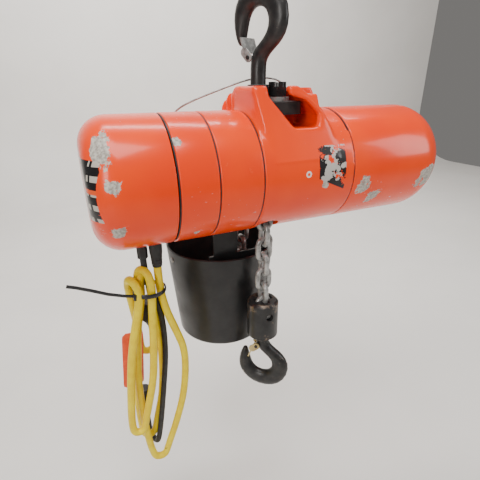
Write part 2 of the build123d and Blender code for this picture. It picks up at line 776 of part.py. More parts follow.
with BuildPart() as cord_tag:
    with BuildSketch(Plane(origin=(-158, 22.5, -382), x_dir=(0.995, 0, 0.1), z_dir=(0, -1, 0))):
        RectangleRounded(25, 78, 4)
        with Locations((0, 34)):
            Circle(2.5, mode=Mode.SUBTRACT)
    extrude(amount=1.2)
keep(cord_tag, "cord_tag")

with BuildPart() as supply_plug:
    with BuildSketch(Plane.XY.offset(-352)):
        with Locations((-128, 33)):
            Circle(10)
    with BuildSketch(Plane.XY.offset(-330)):
        with Locations((-128, 33)):
            Circle(14)
    with BuildSketch(Plane.XY.offset(-308)):
        with Locations((-128, 33)):
            Circle(14)
    loft(ruled=True)
keep(supply_plug, "supply_plug")

with BuildPart() as control_plug:
    with BuildSketch(Plane.XY.offset(-470)):
        with Locations((-150, 26)):
            Circle(8)
    extrude(amount=36)
keep(control_plug, "control_plug")
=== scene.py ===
"""Looks of the electric chain hoist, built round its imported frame. Metres, same frame as the parts."""
import math

import bmesh
import bpy
from mathutils import Matrix, Vector


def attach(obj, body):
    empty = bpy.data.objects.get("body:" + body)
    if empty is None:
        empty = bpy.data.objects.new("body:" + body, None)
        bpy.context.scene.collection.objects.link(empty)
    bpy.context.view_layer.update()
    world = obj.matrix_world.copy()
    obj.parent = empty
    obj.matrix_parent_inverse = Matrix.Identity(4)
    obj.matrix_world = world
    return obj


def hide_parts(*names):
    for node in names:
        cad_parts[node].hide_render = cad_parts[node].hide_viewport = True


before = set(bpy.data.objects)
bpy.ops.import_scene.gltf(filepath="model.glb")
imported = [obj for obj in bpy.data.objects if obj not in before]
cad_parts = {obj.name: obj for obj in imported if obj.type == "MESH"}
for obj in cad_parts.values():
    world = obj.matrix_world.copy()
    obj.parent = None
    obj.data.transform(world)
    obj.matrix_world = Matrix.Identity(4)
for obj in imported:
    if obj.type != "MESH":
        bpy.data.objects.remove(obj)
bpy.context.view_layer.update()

MM = 0.001
AXIS_Y, AXIS_Z, RADIUS = 8.0, -158.0, 65.0
SEAMS = (-104.2, -65.7, -20.0, 89.2)
LEFT_END, RIGHT_END = -179.5, 241.0
CHAIN_X, LOAD_Y, SLACK_Y = -2.0, 8.0 - 30.904, 8.0 + 30.904
PITCH, WIRE, LINK_HALF = 19.1, 6.3, 10.65
WHEEL_R = 29.39  # from the load wheel's axis to the middle of a link on it


def at(x, y, z):
    """A point given in millimetres."""
    return Vector((x, y, z)) * MM


# ---- camera, lights and stage ----
def make_camera():
    data = bpy.data.cameras.new("camera")
    data.lens, data.sensor_width = 27.42, 36.0
    data.clip_start = 0.01
    camera = bpy.data.objects.new("camera", data)
    bpy.context.scene.collection.objects.link(camera)
    yaw, pitch, roll = (math.radians(a) for a in (24.47, 22.73, -0.442))
    turn = Matrix.Rotation(-yaw, 4, "Z") @ Matrix.Rotation(math.pi / 2 - pitch, 4, "X")
    camera.matrix_world = Matrix.Translation(at(-186.1, -361.3, -71.1)) @ turn @ Matrix.Rotation(roll, 4, "Z")
    bpy.context.scene.camera = camera


def make_lamp(name, place, target, size, power, colour=(1, 1, 1)):
    data = bpy.data.lights.new(name, "AREA")
    data.shape, data.size, data.size_y = "RECTANGLE", size[0], size[1]
    data.energy, data.color = power, colour
    lamp = bpy.data.objects.new(name, data)
    bpy.context.scene.collection.objects.link(lamp)
    lamp.location = place
    lamp.rotation_euler = (Vector(target) - Vector(place)).to_track_quat("-Z", "Y").to_euler()


make_camera()
centre = (0, 0, -0.2)
make_lamp("softbox_top", (-0.3, -0.35, 1.0), centre, (1.0, 0.5), 17, (1.0, 0.97, 0.93))
make_lamp("softbox_left", (-1.3, -1.0, 0.3), centre, (0.4, 0.9), 13, (1.0, 0.97, 0.93))
make_lamp("softbox_right", (1.3, -0.9, 0.4), centre, (0.5, 0.8), 8)
make_lamp("backdrop_wash", (0.3, 0.55, 1.3), (0.6, 1.9, 0.1), (1.6, 0.6), 60, (1.0, 0.97, 0.94))
world = bpy.data.worlds.new("room")
world.use_nodes = True
world.node_tree.nodes["Background"].inputs["Color"].default_value = (0.93, 0.9, 0.86, 1)
world.node_tree.nodes["Background"].inputs["Strength"].default_value = 0.2
bpy.context.scene.world = world


# ---- finishes ----
class Value:
    """A node's output that Python's operators turn into Math nodes."""

    def __init__(self, finish, socket):
        self.finish, self.socket = finish, socket

    def maths(self, operation, first, second):
        return self.finish.node("Math", {"operation": operation}, {0: first, 1: second})

    def __add__(self, other):
        return self.maths("ADD", self, other)

    def __radd__(self, other):
        return self.maths("ADD", other, self)

    def __sub__(self, other):
        return self.maths("SUBTRACT", self, other)

    def __rsub__(self, other):
        return self.maths("SUBTRACT", other, self)

    def __mul__(self, other):
        return self.maths("MULTIPLY", self, other)

    def __rmul__(self, other):
        return self.maths("MULTIPLY", other, self)

    def __gt__(self, other):
        return self.maths("GREATER_THAN", self, other)

    def __lt__(self, other):
        return self.maths("LESS_THAN", self, other)

    def __pow__(self, other):
        return self.maths("POWER", self, other)


class Finish:
    """A procedural material that reads Object coordinates."""

    def __init__(self, name, **fixed):
        self.material = bpy.data.materials.new(name)
        self.material.use_nodes = True
        self.nodes = self.material.node_tree.nodes
        self.shader = self.nodes["Principled BSDF"]
        for socket, value in fixed.items():
            self.shader.inputs[socket.replace("_", " ")].default_value = value
        self.place = self.node("TexCoord", output="Object")

    def node(self, kind, settings=None, inputs=None, output=0):
        made = self.nodes.new("ShaderNode" + kind)
        for name, value in (settings or {}).items():
            setattr(made, name, value)
        for name, value in (inputs or {}).items():
            self.feed(made.inputs[name], value)
        return Value(self, made.outputs[output])

    def feed(self, socket, value):
        if isinstance(value, Value):
            self.material.node_tree.links.new(value.socket, socket)
        else:
            socket.default_value = value

    def set(self, **links):
        for name, value in links.items():
            self.feed(self.shader.inputs[name.replace("_", " ")], value)

    def noise(self, scale, detail=3.0, rough=0.55, stretch=(1, 1, 1)):
        place = self.node("Mapping", None, {"Vector": self.place, "Scale": stretch})
        return self.node("TexNoise", None,
                         {"Vector": place, "Scale": scale, "Detail": detail, "Roughness": rough})

    def ramp(self, value, low, high, start=0.0, end=1.0):
        return self.node("MapRange", {"interpolation_type": "SMOOTHSTEP"},
                         {0: value, 1: low, 2: high, 3: start, 4: end})

    def axes(self):
        split = self.node("SeparateXYZ", None, {0: self.place})
        outputs = split.socket.node.outputs
        return [Value(self, outputs[i]) for i in range(3)]

    def mix(self, mask, first, second):
        made = self.nodes.new("ShaderNodeMix")
        made.data_type = "RGBA"
        for index, value in ((0, mask), (6, first), (7, second)):
            self.feed(made.inputs[index], value)
        return Value(self, made.outputs[2])

    def bump(self, height, strength, distance):
        bump = self.node("Bump", None, {"Height": height, "Strength": strength, "Distance": distance})
        self.set(Normal=bump)

    def near(self, x, y, z, reach):
        """1 at a point given in millimetres, falling to 0 at that reach."""
        away = self.node("VectorMath", {"operation": "DISTANCE"}, {0: self.place, 1: at(x, y, z)}, "Value")
        return self.ramp(away, 0.25 * reach * MM, reach * MM, 1.0, 0.0)


def orange_paint(name, zones, streaks=0.0, mark=None):
    """Glossy orange-red enamel, chipped to grey primer in zones, scratched, and marked if asked."""
    finish = Finish(name, Coat_Weight=0.22, Coat_Roughness=0.07, Specular_IOR_Level=0.25)
    tone = finish.ramp(finish.noise(14, 2), 0.3, 0.7)
    colour = finish.mix(tone, (0.88, 0.045, 0.0, 1), (0.95, 0.062, 0.0, 1))
    speck = finish.noise(420, 2)
    rough_edge = finish.noise(95, 5, 0.7)
    wear = 0.0
    for zone in zones:
        wear = wear + finish.near(*zone)
    chips = (rough_edge + wear * 0.34) > 0.745
    scratch = finish.noise(55, 2, 0.5, (3.0, 0.6, 14.0))
    lines = ((scratch + wear * 0.07) > 0.72) * (finish.noise(9, 1) > 0.53) * (1 - chips)
    primer = finish.mix(finish.ramp(speck, 0.35, 0.65), (0.30, 0.27, 0.24, 1), (0.56, 0.53, 0.47, 1))
    colour = finish.mix(chips, colour, primer)
    colour = finish.mix(lines * streaks, colour, (0.62, 0.55, 0.5, 1))
    dust = finish.ramp(finish.noise(24, 6, 0.7), 0.58, 0.85, 0.0, 0.10)
    colour = finish.mix(dust, colour, (0.45, 0.2, 0.12, 1))
    if mark:
        colour = mark(finish, colour)
    finish.set(Base_Color=colour, Roughness=0.25 + dust * 1.2 + chips * 0.4)
    finish.bump(finish.noise(160, 2) * 0.12 + (1 - chips) * 1.0, 0.35, 0.0004)
    return finish


def inside_box(finish, low, high):
    """1 inside a box whose corners are given in millimetres."""
    inside = 1.0
    for value, least, most in zip(finish.axes(), low, high):
        inside = (value > least * MM) * (value < most * MM) * inside
    return inside


def end_label(finish, colour):
    """A dark blank plate with rows of pale blocks and one orange stripe."""
    plate = inside_box(finish, (-190, -47, -178), (-167.5, 15, -126))
    row = finish.node("Math", {"operation": "FRACT"}, {0: finish.axes()[2] * 82.0})
    blocks = (row > 0.3) * (row < 0.72) * (finish.noise(120, 1, 0.5, (0.1, 1.0, 0.05)) > 0.5)
    ink = finish.mix(blocks, (0.012, 0.011, 0.012, 1), (0.50, 0.46, 0.40, 1))
    stripe = inside_box(finish, (-190, -47, -153), (-167.5, 15, -149))
    ink = finish.mix(stripe, ink, (0.80, 0.10, 0.02, 1))
    worn = finish.noise(70, 5, 0.7) < 0.63
    return finish.mix(plate * worn, colour, ink)


def torn_decal(finish, colour):
    """A silver and black blank decal, torn away in places to a slanting lower edge, and a white ring."""
    x, y, z = finish.axes()
    patch = inside_box(finish, (43, -80, -177), (77, 0, -127)) * ((z + x * 0.42) > -0.1415)
    tear = finish.noise(75, 6, 0.72)
    ink = finish.mix(finish.noise(48, 4, 0.6) > 0.5, (0.018, 0.017, 0.018, 1), (0.50, 0.48, 0.45, 1))
    colour = finish.mix(patch * (tear < 0.56), colour, ink)
    away = finish.node("VectorMath", {"operation": "DISTANCE"}, {0: finish.place, 1: at(30, -56.8, -153.5)},
                       "Value")
    ring = (away > 1.6 * MM) * (away < 3.4 * MM)
    return finish.mix(ring, colour, (0.80, 0.76, 0.70, 1))


def plain(name, low, high, roughness, metallic=0.0, grain=90, wear=None, wear_at=0.62, bump=0.25,
          depth=0.0003, stretch=(1, 1, 1), **fixed):
    """A two-tone finish with a grain, and worn patches of another colour where wear is given."""
    finish = Finish(name, **fixed)
    cloud = finish.noise(grain, 5, 0.6, stretch)
    colour = finish.mix(finish.ramp(cloud, 0.3, 0.7), (*low, 1), (*high, 1))
    gloss = finish.ramp(finish.noise(grain * 0.4, 4), 0.3, 0.7, roughness * 0.8, roughness * 1.25)
    metal = metallic
    if wear:
        worn = finish.ramp(finish.noise(grain * 0.35, 6, 0.72), wear_at, wear_at + 0.06)
        colour = finish.mix(worn, colour, (*wear, 1))
        metal = worn * 0.7 + metallic * 0.3
    finish.set(Base_Color=colour, Roughness=gloss, Metallic=metal)
    finish.bump(cloud, bump, depth)
    return finish


LEFT_CHIPS = [(-163, -32, -110, 15), (-163, -45, -125, 16), (-160, -54, -147, 14), (-160, -48, -188, 13),
              (-166, -38, -117, 12)]
RIGHT_CHIPS = [(202, -54, -176, 24), (207, -49, -166, 16), (108, -55, -171, 17), (124, -48, -191, 15),
               (100, -57, -180, 12), (134, -46, -182, 12)]
paint_left = orange_paint("paint_control_cover", LEFT_CHIPS, 0.7, end_label)
paint_ring = orange_paint("paint_rings", [(-100, -40, -115, 8), (-85, -40, -205, 8)], 0.5)
paint_centre = orange_paint("paint_housing", [(52, -57, -165, 8)], 0.4, torn_decal)
paint_right = orange_paint("paint_motor_cover", RIGHT_CHIPS, 1.0)
black_satin = plain("container_black", (0.006, 0.006, 0.007), (0.014, 0.014, 0.015), 0.38, grain=60,
                    wear=(0.09, 0.085, 0.08), wear_at=0.70, bump=0.15)
hook_black = plain("hook_black", (0.010, 0.010, 0.011), (0.028, 0.027, 0.026), 0.4, 0.35, grain=110,
                   wear=(0.20, 0.17, 0.145), wear_at=0.60, bump=0.5, depth=0.0005)
block_black = plain("block_black", (0.008, 0.008, 0.009), (0.02, 0.02, 0.02), 0.36, 0.25, grain=80,
                    wear=(0.17, 0.13, 0.10), wear_at=0.56, bump=0.35)
zinc = plain("chain_zinc", (0.20, 0.20, 0.195), (0.46, 0.46, 0.45), 0.2, 1.0, grain=150,
             wear=(0.24, 0.07, 0.045), wear_at=0.68, bump=0.2)
brass = plain("latch_yellow_zinc", (0.42, 0.30, 0.11), (0.66, 0.52, 0.24), 0.32, 0.9, grain=120,
              wear=(0.25, 0.22, 0.18), wear_at=0.6)
rubber = plain("black_rubber", (0.012, 0.012, 0.012), (0.022, 0.022, 0.022), 0.55, grain=240, bump=0.3)
nylon = plain("black_nylon", (0.012, 0.012, 0.013), (0.02, 0.02, 0.021), 0.42, grain=200)
yellow = plain("yellow_jacket", (0.84, 0.60, 0.0), (0.94, 0.74, 0.004), 0.40, grain=70,
               wear=(0.45, 0.33, 0.04), wear_at=0.68, bump=0.2, Specular_IOR_Level=0.3)
tag_red = plain("tag_red", (0.78, 0.07, 0.02), (0.92, 0.12, 0.04), 0.38, grain=90, wear=(0.7, 0.6, 0.55),
                wear_at=0.62)
machined = plain("machined_steel", (0.38, 0.38, 0.39), (0.6, 0.6, 0.61), 0.3, 1.0, grain=130,
                 stretch=(4, 1, 1))
cast_grey = plain("cast_grey", (0.30, 0.30, 0.30), (0.42, 0.42, 0.42), 0.5, 0.8, grain=180, bump=0.5)
copper = plain("copper_winding", (0.40, 0.15, 0.05), (0.62, 0.27, 0.10), 0.35, 0.9, grain=300,
               stretch=(1, 6, 6))
bright_nut = plain("nut_black", (0.014, 0.014, 0.015), (0.03, 0.03, 0.03), 0.25, 0.7, grain=120,
                   wear=(0.5, 0.5, 0.5), wear_at=0.63)

CAD_FINISH = {
    hook_black: ("crosshead", "hook_collar", "hook_nut", "top_latch_rivet", "load_latch_rivet"),
    block_black: ("hook_block_front", "hook_block_rear"),
    black_satin: ("container_bracket",),
    zinc: ("load_pin", "stud_washer", "suspension_stud", "tie_bolts", "top_latch",
           "hook_bearing", "bearings"),
    brass: ("load_latch", "limit_nuts"),
    rubber: ("casing_gaskets", "control_gland"),
    bright_nut: ("castle_nut",),
    nylon: ("contactor", "limit_switches", "cooling_fan", "capacitor"),
    machined: ("load_wheel", "output_gear", "intermediate_gear", "intermediate_shaft", "motor_pinion",
               "motor_shaft", "limit_screw", "rotor_core", "stator_core", "brake_disc", "brake_armature"),
    cast_grey: ("bearing_plates", "chain_guide"),
    copper: ("stator_windings", "brake_coil"),
}
for finish, nodes in CAD_FINISH.items():
    for node in nodes:
        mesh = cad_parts[node].data
        mesh.materials.clear()
        mesh.materials.append(finish.material)


# ---- ways to make a piece ----
def place_piece(name, bm, body, finish, slot, *stands_for, sharp=38.0):
    """Make a bmesh in metres into a finished piece that rides a body."""
    for edge in bm.edges:
        edge.smooth = edge.calc_face_angle(0.0) < math.radians(sharp)
    for face in bm.faces:
        face.smooth = True
    mesh = bpy.data.meshes.new(name)
    bm.to_mesh(mesh)
    bm.free()
    mesh.materials.append(finish.material)
    piece = bpy.data.objects.new(name, mesh)
    bpy.context.scene.collection.objects.link(piece)
    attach(piece, body)
    if stands_for:
        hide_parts(*stands_for)
    return piece


def arc(middle, radius, start, end, steps):
    """Points of an arc in a profile, angles in degrees."""
    turns = [math.radians(start + (end - start) * i / steps) for i in range(steps + 1)]
    return [(middle[0] + radius * math.cos(t), middle[1] + radius * math.sin(t)) for t in turns]


def lathe(bm, profile, origin, axis, steps=128):
    """Spin a profile of (along, radius) points in millimetres round an axis; ends on the axis are closed."""
    along = Vector(axis)
    side = Vector((0, 0, 1)) if abs(along.z) < 0.5 else Vector((1, 0, 0))
    points = [bm.verts.new((Vector(origin) + along * a + side * r) * MM) for a, r in profile]
    edges = [bm.edges.new(pair) for pair in zip(points, points[1:])]
    bmesh.ops.spin(bm, geom=points + edges, cent=Vector(origin) * MM, axis=along, angle=math.tau, steps=steps,
                   use_merge=True)
    bmesh.ops.remove_doubles(bm, verts=bm.verts, dist=1e-6)
    bmesh.ops.dissolve_degenerate(bm, edges=bm.edges, dist=1e-7)
    bmesh.ops.recalc_face_normals(bm, faces=bm.faces)


def lathed(name, profile, origin, axis, body, finish, slot, *stands_for, steps=128, sharp=38.0):
    bm = bmesh.new()
    lathe(bm, profile, origin, axis, steps)
    return place_piece(name, bm, body, finish, slot, *stands_for, sharp=sharp)


def ring_matrix(place, along, across, wide, deep):
    """Matrix that lays a unit circle at a place, wide along across and deep at right angles to it."""
    along, across = along.normalized(), across.normalized()
    third = along.cross(across)
    turn = Matrix((across * wide, third * deep, along)).transposed().to_4x4()
    return Matrix.Translation(place) @ turn


def bridged(bm, matrices, sides, closed):
    """Join a row of circles into a tube; an open tube is capped."""
    rings = []
    for index, matrix in enumerate(matrices):
        cap = not closed and index in (0, len(matrices) - 1)
        made = bmesh.ops.create_circle(bm, cap_ends=cap, segments=sides, radius=1.0, matrix=matrix)
        rings.append(set(made["verts"]))
    pairs = list(zip(rings, rings[1:])) + ([(rings[-1], rings[0])] if closed else [])
    for first, second in pairs:
        edges = [e for e in bm.edges if set(e.verts) <= first or set(e.verts) <= second]
        bmesh.ops.bridge_loops(bm, edges=edges)


def link_mesh():
    """One chain link at the origin, its length along X and its width along Y."""
    bm = bmesh.new()
    side = LINK_HALF - WIRE / 2
    straight = (PITCH + WIRE + 0.1) / 2 - side
    matrices = []
    for end in (1, -1):
        for index in range(9):
            turn = math.radians(-90 + 180 * index / 8 + (0 if end > 0 else 180))
            out = Vector((math.cos(turn), math.sin(turn), 0))
            along = Vector((-math.sin(turn), math.cos(turn), 0))
            place = Vector((end * straight, 0, 0)) + out * side
            matrices.append(ring_matrix(place, along, out, WIRE / 2, WIRE / 2))
    bridged(bm, matrices, 12, True)
    bmesh.ops.recalc_face_normals(bm, faces=bm.faces)
    mesh = bpy.data.meshes.new("link")
    bm.to_mesh(mesh)
    bm.free()
    return mesh


LINK = link_mesh()


def link_matrix(middle, along, normal):
    along, normal = Vector(along).normalized(), Vector(normal).normalized()
    across = normal.cross(along).normalized()
    normal = along.cross(across)
    turn = Matrix((along, across, normal)).transposed().to_4x4()
    return Matrix.Scale(MM, 4) @ Matrix.Translation(middle) @ turn


def add_link(bm, middle, along, normal):
    count = len(bm.verts)
    bm.from_mesh(LINK)
    bm.verts.ensure_lookup_table()
    bmesh.ops.transform(bm, matrix=link_matrix(middle, along, normal), verts=bm.verts[count:])


def hanging(bm, y, indexes):
    for index in indexes:
        normal = (0, 1, 0) if index % 2 == 0 else (1, 0, 0)
        add_link(bm, Vector((CHAIN_X, y, AXIS_Z - (index + 0.5) * PITCH)), (0, 0, 1), normal)


# ---- cords ----
def cord_curve(name, route, diameter, finish, slot, *stands_for):
    """A round cord along a NURBS line whose control points are given in millimetres."""
    curve = bpy.data.curves.new(name, "CURVE")
    curve.dimensions, curve.bevel_depth, curve.bevel_resolution = "3D", diameter * MM / 2, 5
    curve.resolution_u, curve.use_fill_caps = 8, True
    spline = curve.splines.new("NURBS")
    spline.points.add(len(route) - 1)
    for point, place in zip(spline.points, route):
        point.co = (*at(*place), 1)
    spline.order_u = 3
    spline.use_endpoint_u = True
    curve.materials.append(finish.material)
    piece = bpy.data.objects.new(name, curve)
    bpy.context.scene.collection.objects.link(piece)
    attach(piece, "casing")
    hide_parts(*stands_for)
    return piece


SUPPLY_ROUTE = [
    (-121, -2, -249), (-121, -2, -260), (-120.8, -3, -279), (-116.5, -3, -306), (-107, -4, -337),
    (-99, -4, -366), (-100, -4, -402), (-105.5, -3, -440), (-117, -2, -480), (-127, -1, -508),
    (-133, 0, -526), (-135.6, 0, -532.4), (-142, 0.5, -535), (-148.4, 1, -532.4), (-151, 1, -526),
    (-154, 1, -508), (-157, 1, -470), (-158, 1, -420), (-156, 1, -370), (-151, 1, -330), (-145, 1, -300),
    (-141, 1.5, -282), (-141, 2, -266), (-139.4, 3.5, -261.5), (-135.5, 6, -259.5), (-131.6, 8.5, -261.5),
    (-130, 10, -266), (-130, 10.5, -282), (-127, 10.5, -310), (-124, 10.5, -345), (-125, 10.5, -395),
    (-130, 10.5, -440), (-138, 10.5, -470), (-143, 10.5, -491), (-145.4, 10.5, -497.6), (-151, 10.5, -500),
    (-156.6, 10.5, -497.6), (-159, 10.5, -491), (-160.5, 10.5, -470), (-160, 10.5, -430), (-154, 10.5, -380),
    (-149, 10.5, -330), (-144, 10.5, -296), (-142, 10.5, -276), (-142, 9.5, -262), (-140.5, 6, -254),
    (-137, 0.5, -250.5), (-133, -5.5, -254), (-131.3, -8.5, -262), (-131, -9, -274), (-132, -8.5, -288),
    (-134, -8.5, -315), (-136, -8.5, -350), (-141, -8.5, -395), (-150, -8.5, -430), (-157.5, -8.5, -460),
    (-159.7, -8.5, -466.3), (-165, -8.5, -469), (-170.3, -8.5, -466.3), (-172.5, -8.5, -460),
    (-172, -8.5, -440), (-168.5, -8.5, -405), (-163, -8.5, -360), (-154, -8.5, -318), (-146, -8.5, -288),
    (-144, -8, -270), (-150, -1, -260), (-153, 10, -265), (-152, 19, -285), (-149, 23, -315),
    (-146.5, 27, -345), (-146, 30, -365), (-145.5, 32, -374), (-143, 32.5, -380.4), (-137, 33, -383),
    (-130.6, 33, -380.4), (-128, 33, -374), (-128, 33, -362), (-128, 33, -352)]
CONTROL_ROUTE = [
    (-134.5, 2, -238), (-134.5, 2, -246), (-133.5, 2, -260), (-131, 1.5, -277), (-126, 2, -292),
    (-122, 3, -308), (-120, 3, -339), (-121.5, 3, -375), (-126.5, 3, -411), (-132, 3, -450), (-137, 3, -480),
    (-140, 3, -496), (-142, 4.5, -507), (-143.5, 8, -513.5), (-146, 14.5, -516.5), (-148.5, 21.5, -513),
    (-149.7, 25.5, -505), (-150, 26, -490), (-150, 26, -470)]
supply = cord_curve("supply_cord_run", SUPPLY_ROUTE, 9.0, yellow, "yellow_jacket", "supply_cord", "cord_hank")
control = cord_curve("control_cord_run", CONTROL_ROUTE, 7.0, rubber, "black_rubber", "control_cord")

# ---- casing shells ----
CASING = ((0, AXIS_Y, AXIS_Z), (1, 0, 0))
LIP, WALL, CRACK = 1.1, 5.0, 0.7
GAPE = 0.9  # how much wider the leftmost seam stands open
LEFT_CORNER, RIGHT_CORNER = 28.0, 45.0


def shell_profile(start, end):
    """Closed section of a ring with rounded lips."""
    low, high = RADIUS - WALL, RADIUS
    return ([(start + LIP, low)] + arc((start + LIP, high - LIP), LIP, 180, 90, 5)
            + arc((end - LIP, high - LIP), LIP, 90, 0, 5) + [(end, low), (start + LIP, low)])


def cap_profile(end, seam, corner):
    """Section of a round-cornered end cover, from its outer end on the axis round to its inner end."""
    side = 1 if seam > end else -1
    outer = [(end, 0.0), (end, (RADIUS - corner) * 0.5)]
    outer += [(end + side * (corner - corner * math.cos(t)), RADIUS - corner + corner * math.sin(t))
              for t in (math.radians(90 * i / 16) for i in range(17))]
    lip = [(seam - side * (LIP - LIP * math.sin(t)), RADIUS - LIP + LIP * math.cos(t))
           for t in (math.radians(90 * i / 5) for i in range(6))]
    inner_corner = corner - WALL
    inner = [(seam, RADIUS - WALL)]
    inner += [(end + side * (corner - inner_corner * math.cos(t)),
               RADIUS - corner + inner_corner * math.sin(t))
              for t in (math.radians(90 - 90 * i / 8) for i in range(9))]
    return outer + lip + inner + [(end + side * WALL, 0.0)]


lathed("control_cover_shell", cap_profile(LEFT_END, SEAMS[0] - CRACK - GAPE, LEFT_CORNER), *CASING, "casing",
       paint_left, "orange_paint", "control_cover")
lathed("clutch_ring_shell", shell_profile(SEAMS[0] + CRACK, SEAMS[1] - CRACK), *CASING, "casing", paint_ring,
       "orange_paint", "clutch_ring")
lathed("gear_ring_shell", shell_profile(SEAMS[1] + CRACK, SEAMS[2] - CRACK), *CASING, "casing", paint_ring,
       "orange_paint", "gear_ring")
lathed("motor_cover_shell", cap_profile(RIGHT_END, SEAMS[3] + CRACK, RIGHT_CORNER), *CASING, "casing",
       paint_right, "orange_paint", "motor_cover")


CROWN_SMOOTHING = 16
VOXEL = 0.0013
SKIN = 0.0655  # just outside the casing's round skin
CROWN_REAR, CROWN_FLOOR, CAVITY_RADIUS = 0.031, -0.112, 0.04


def cast_housing():
    """The centre housing as a casting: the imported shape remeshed, with its crown's corners softened."""
    copy = bpy.data.objects.new("housing_copy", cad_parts["centre_housing"].data.copy())
    bpy.context.scene.collection.objects.link(copy)
    bm = bmesh.new()
    bm.from_mesh(copy.data)
    bmesh.ops.remove_doubles(bm, verts=bm.verts, dist=1e-5)
    bm.to_mesh(copy.data)
    bm.free()
    remesh = copy.modifiers.new("voxels", "REMESH")
    remesh.mode, remesh.voxel_size = "VOXEL", VOXEL
    graph = bpy.context.evaluated_depsgraph_get()
    mesh = bpy.data.meshes.new_from_object(copy.evaluated_get(graph))
    bpy.data.objects.remove(copy)
    bm = bmesh.new()
    bm.from_mesh(mesh)
    def off_axis(v):
        return math.hypot(v.co.y - AXIS_Y * MM, v.co.z - AXIS_Z * MM)

    crown = {v for v in bm.verts if v.co.y < CROWN_REAR
             and (off_axis(v) > SKIN or (v.co.z > CROWN_FLOOR and off_axis(v) > CAVITY_RADIUS))}
    foot = set(crown)
    every_axis = {"use_axis_x": True, "use_axis_y": True, "use_axis_z": True}
    for _ in range(5):
        foot |= {e.other_vert(v) for v in foot for e in v.link_edges if v.co.y < CROWN_REAR}
    for _ in range(CROWN_SMOOTHING):
        bmesh.ops.smooth_vert(bm, verts=list(foot), factor=0.5, **every_axis)
    fins = [v for v in bm.verts if v.co.y > 0.029 and off_axis(v) > SKIN]
    bmesh.ops.smooth_vert(bm, verts=fins, factor=0.5, **every_axis)
    return bm


place_piece("centre_housing_casting", cast_housing(), "casing", paint_centre, "orange_paint",
            "centre_housing", sharp=60.0)

# ---- hooks ----
HOOK_SECTIONS = [
    ((-20.2, 18.6), (-25, 18.8), 5), ((-19.6, 16), (-26.5, 15), 10), ((-18, 9.5), (-29.5, 8.5), 13),
    ((-15.6, 2), (-32, -6), 14.5), ((-13.6, -5.5), (-29.5, -19), 15), ((-8.5, -12), (-19, -31.5), 15),
    ((0, -14.5), (-3, -37.4), 15), ((8, -12.3), (17, -35), 15), ((13.3, -6.2), (31.5, -22.5), 15),
    ((14.6, 1), (37.2, -2), 15), ((12.6, 8), (33, 11.5), 15), ((7.5, 14), (24.5, 20), 15),
    ((0, 19.5), (16, 25.2), 15), ((-5.5, 25.5), (11, 30.2), 15), ((-7.8, 32.5), (8.4, 34), 15.8),
    ((-8, 42), (8, 42), 16), ((-8, 50), (8, 50), 16)]


def forged_hook(name, bowl, turn, up, shank_end, body, *stands_for):
    """A hook lofted from oval sections, thick at the bowl and slim at the tip, with a round shank."""
    along = Vector((math.cos(math.radians(turn)), math.sin(math.radians(turn)), 0))
    shank = Vector((0, 0, 1 if up else -1))
    normal = along.cross(shank)
    matrices = []
    sections = HOOK_SECTIONS + [((-8, shank_end), (8, shank_end), 16)]
    middles = [Vector(((a[0] + b[0]) / 2, (a[1] + b[1]) / 2)) for a, b, _ in sections]
    for index, (inner, outer, thick) in enumerate(sections):
        across = Vector((outer[0] - inner[0], outer[1] - inner[1]))
        across3 = along * across.x + shank * across.y
        place = Vector(bowl) + along * middles[index].x + shank * middles[index].y
        travel = normal.cross(across3)
        ring = ring_matrix(place * MM, travel, across3, across.length / 2 * MM, thick / 2 * MM)
        matrices.append(ring)
    bm = bmesh.new()
    bridged(bm, matrices, 20, False)
    bmesh.ops.recalc_face_normals(bm, faces=bm.faces)
    piece = place_piece(name, bm, body, hook_black, "black_steel", *stands_for, sharp=80.0)
    rounding = piece.modifiers.new("rounding", "SUBSURF")
    rounding.levels = rounding.render_levels = 1
    return piece


forged_hook("top_hook_forging", (0, 0, -14.5), -70.0, False, 84.0, "top_hook", "top_hook")
forged_hook("load_hook_forging", (CHAIN_X, LOAD_Y, -406.0), -45.0, True, 61.0, "load_hook", "load_hook")

# ---- chain ----
bm = bmesh.new()
hanging(bm, LOAD_Y, range(1, 9))
place_piece("load_chain_links", bm, "hook_block", zinc, "zinc_steel", "load_chain", sharp=180.0)

bm = bmesh.new()
hanging(bm, SLACK_Y, range(0, 10))
for index in range(5):
    angle = math.radians(18 + 36 * index)
    outward = Vector((0, -math.cos(angle), math.sin(angle)))
    along = Vector((0, math.sin(angle), math.cos(angle)))
    middle = Vector((CHAIN_X, AXIS_Y, AXIS_Z)) + outward * WHEEL_R
    add_link(bm, middle, along, (1, 0, 0) if index % 2 == 0 else outward)
place_piece("slack_chain_links", bm, "casing", zinc, "zinc_steel", "slack_chain", sharp=180.0)

TUB_X, TUB_Y, PILE_Z, PILE_LINKS = -23.0, 63.0, -385.0, 130
bm = bmesh.new()
angle = 0.0
for index in range(PILE_LINKS):
    layer = index / PILE_LINKS
    radius = 27 + 14 * math.sin(index * 0.31) - 8 * layer
    angle += PITCH * 0.98 / radius
    place = Vector((TUB_X + radius * math.cos(angle), TUB_Y + radius * math.sin(angle),
                    PILE_Z + 9.5 + 13 * layer + 2.0 * math.sin(index * 1.7)))
    along = Vector((-math.sin(angle), math.cos(angle), 0.16 * math.sin(index * 0.9)))
    tilt = math.radians(45 if index % 2 else -45)
    outward = Vector((math.cos(angle), math.sin(angle), 0))
    add_link(bm, place, along, outward * math.sin(tilt) + Vector((0, 0, math.cos(tilt))))
place_piece("chain_pile_links", bm, "casing", zinc, "zinc_steel", "chain_pile", sharp=180.0)

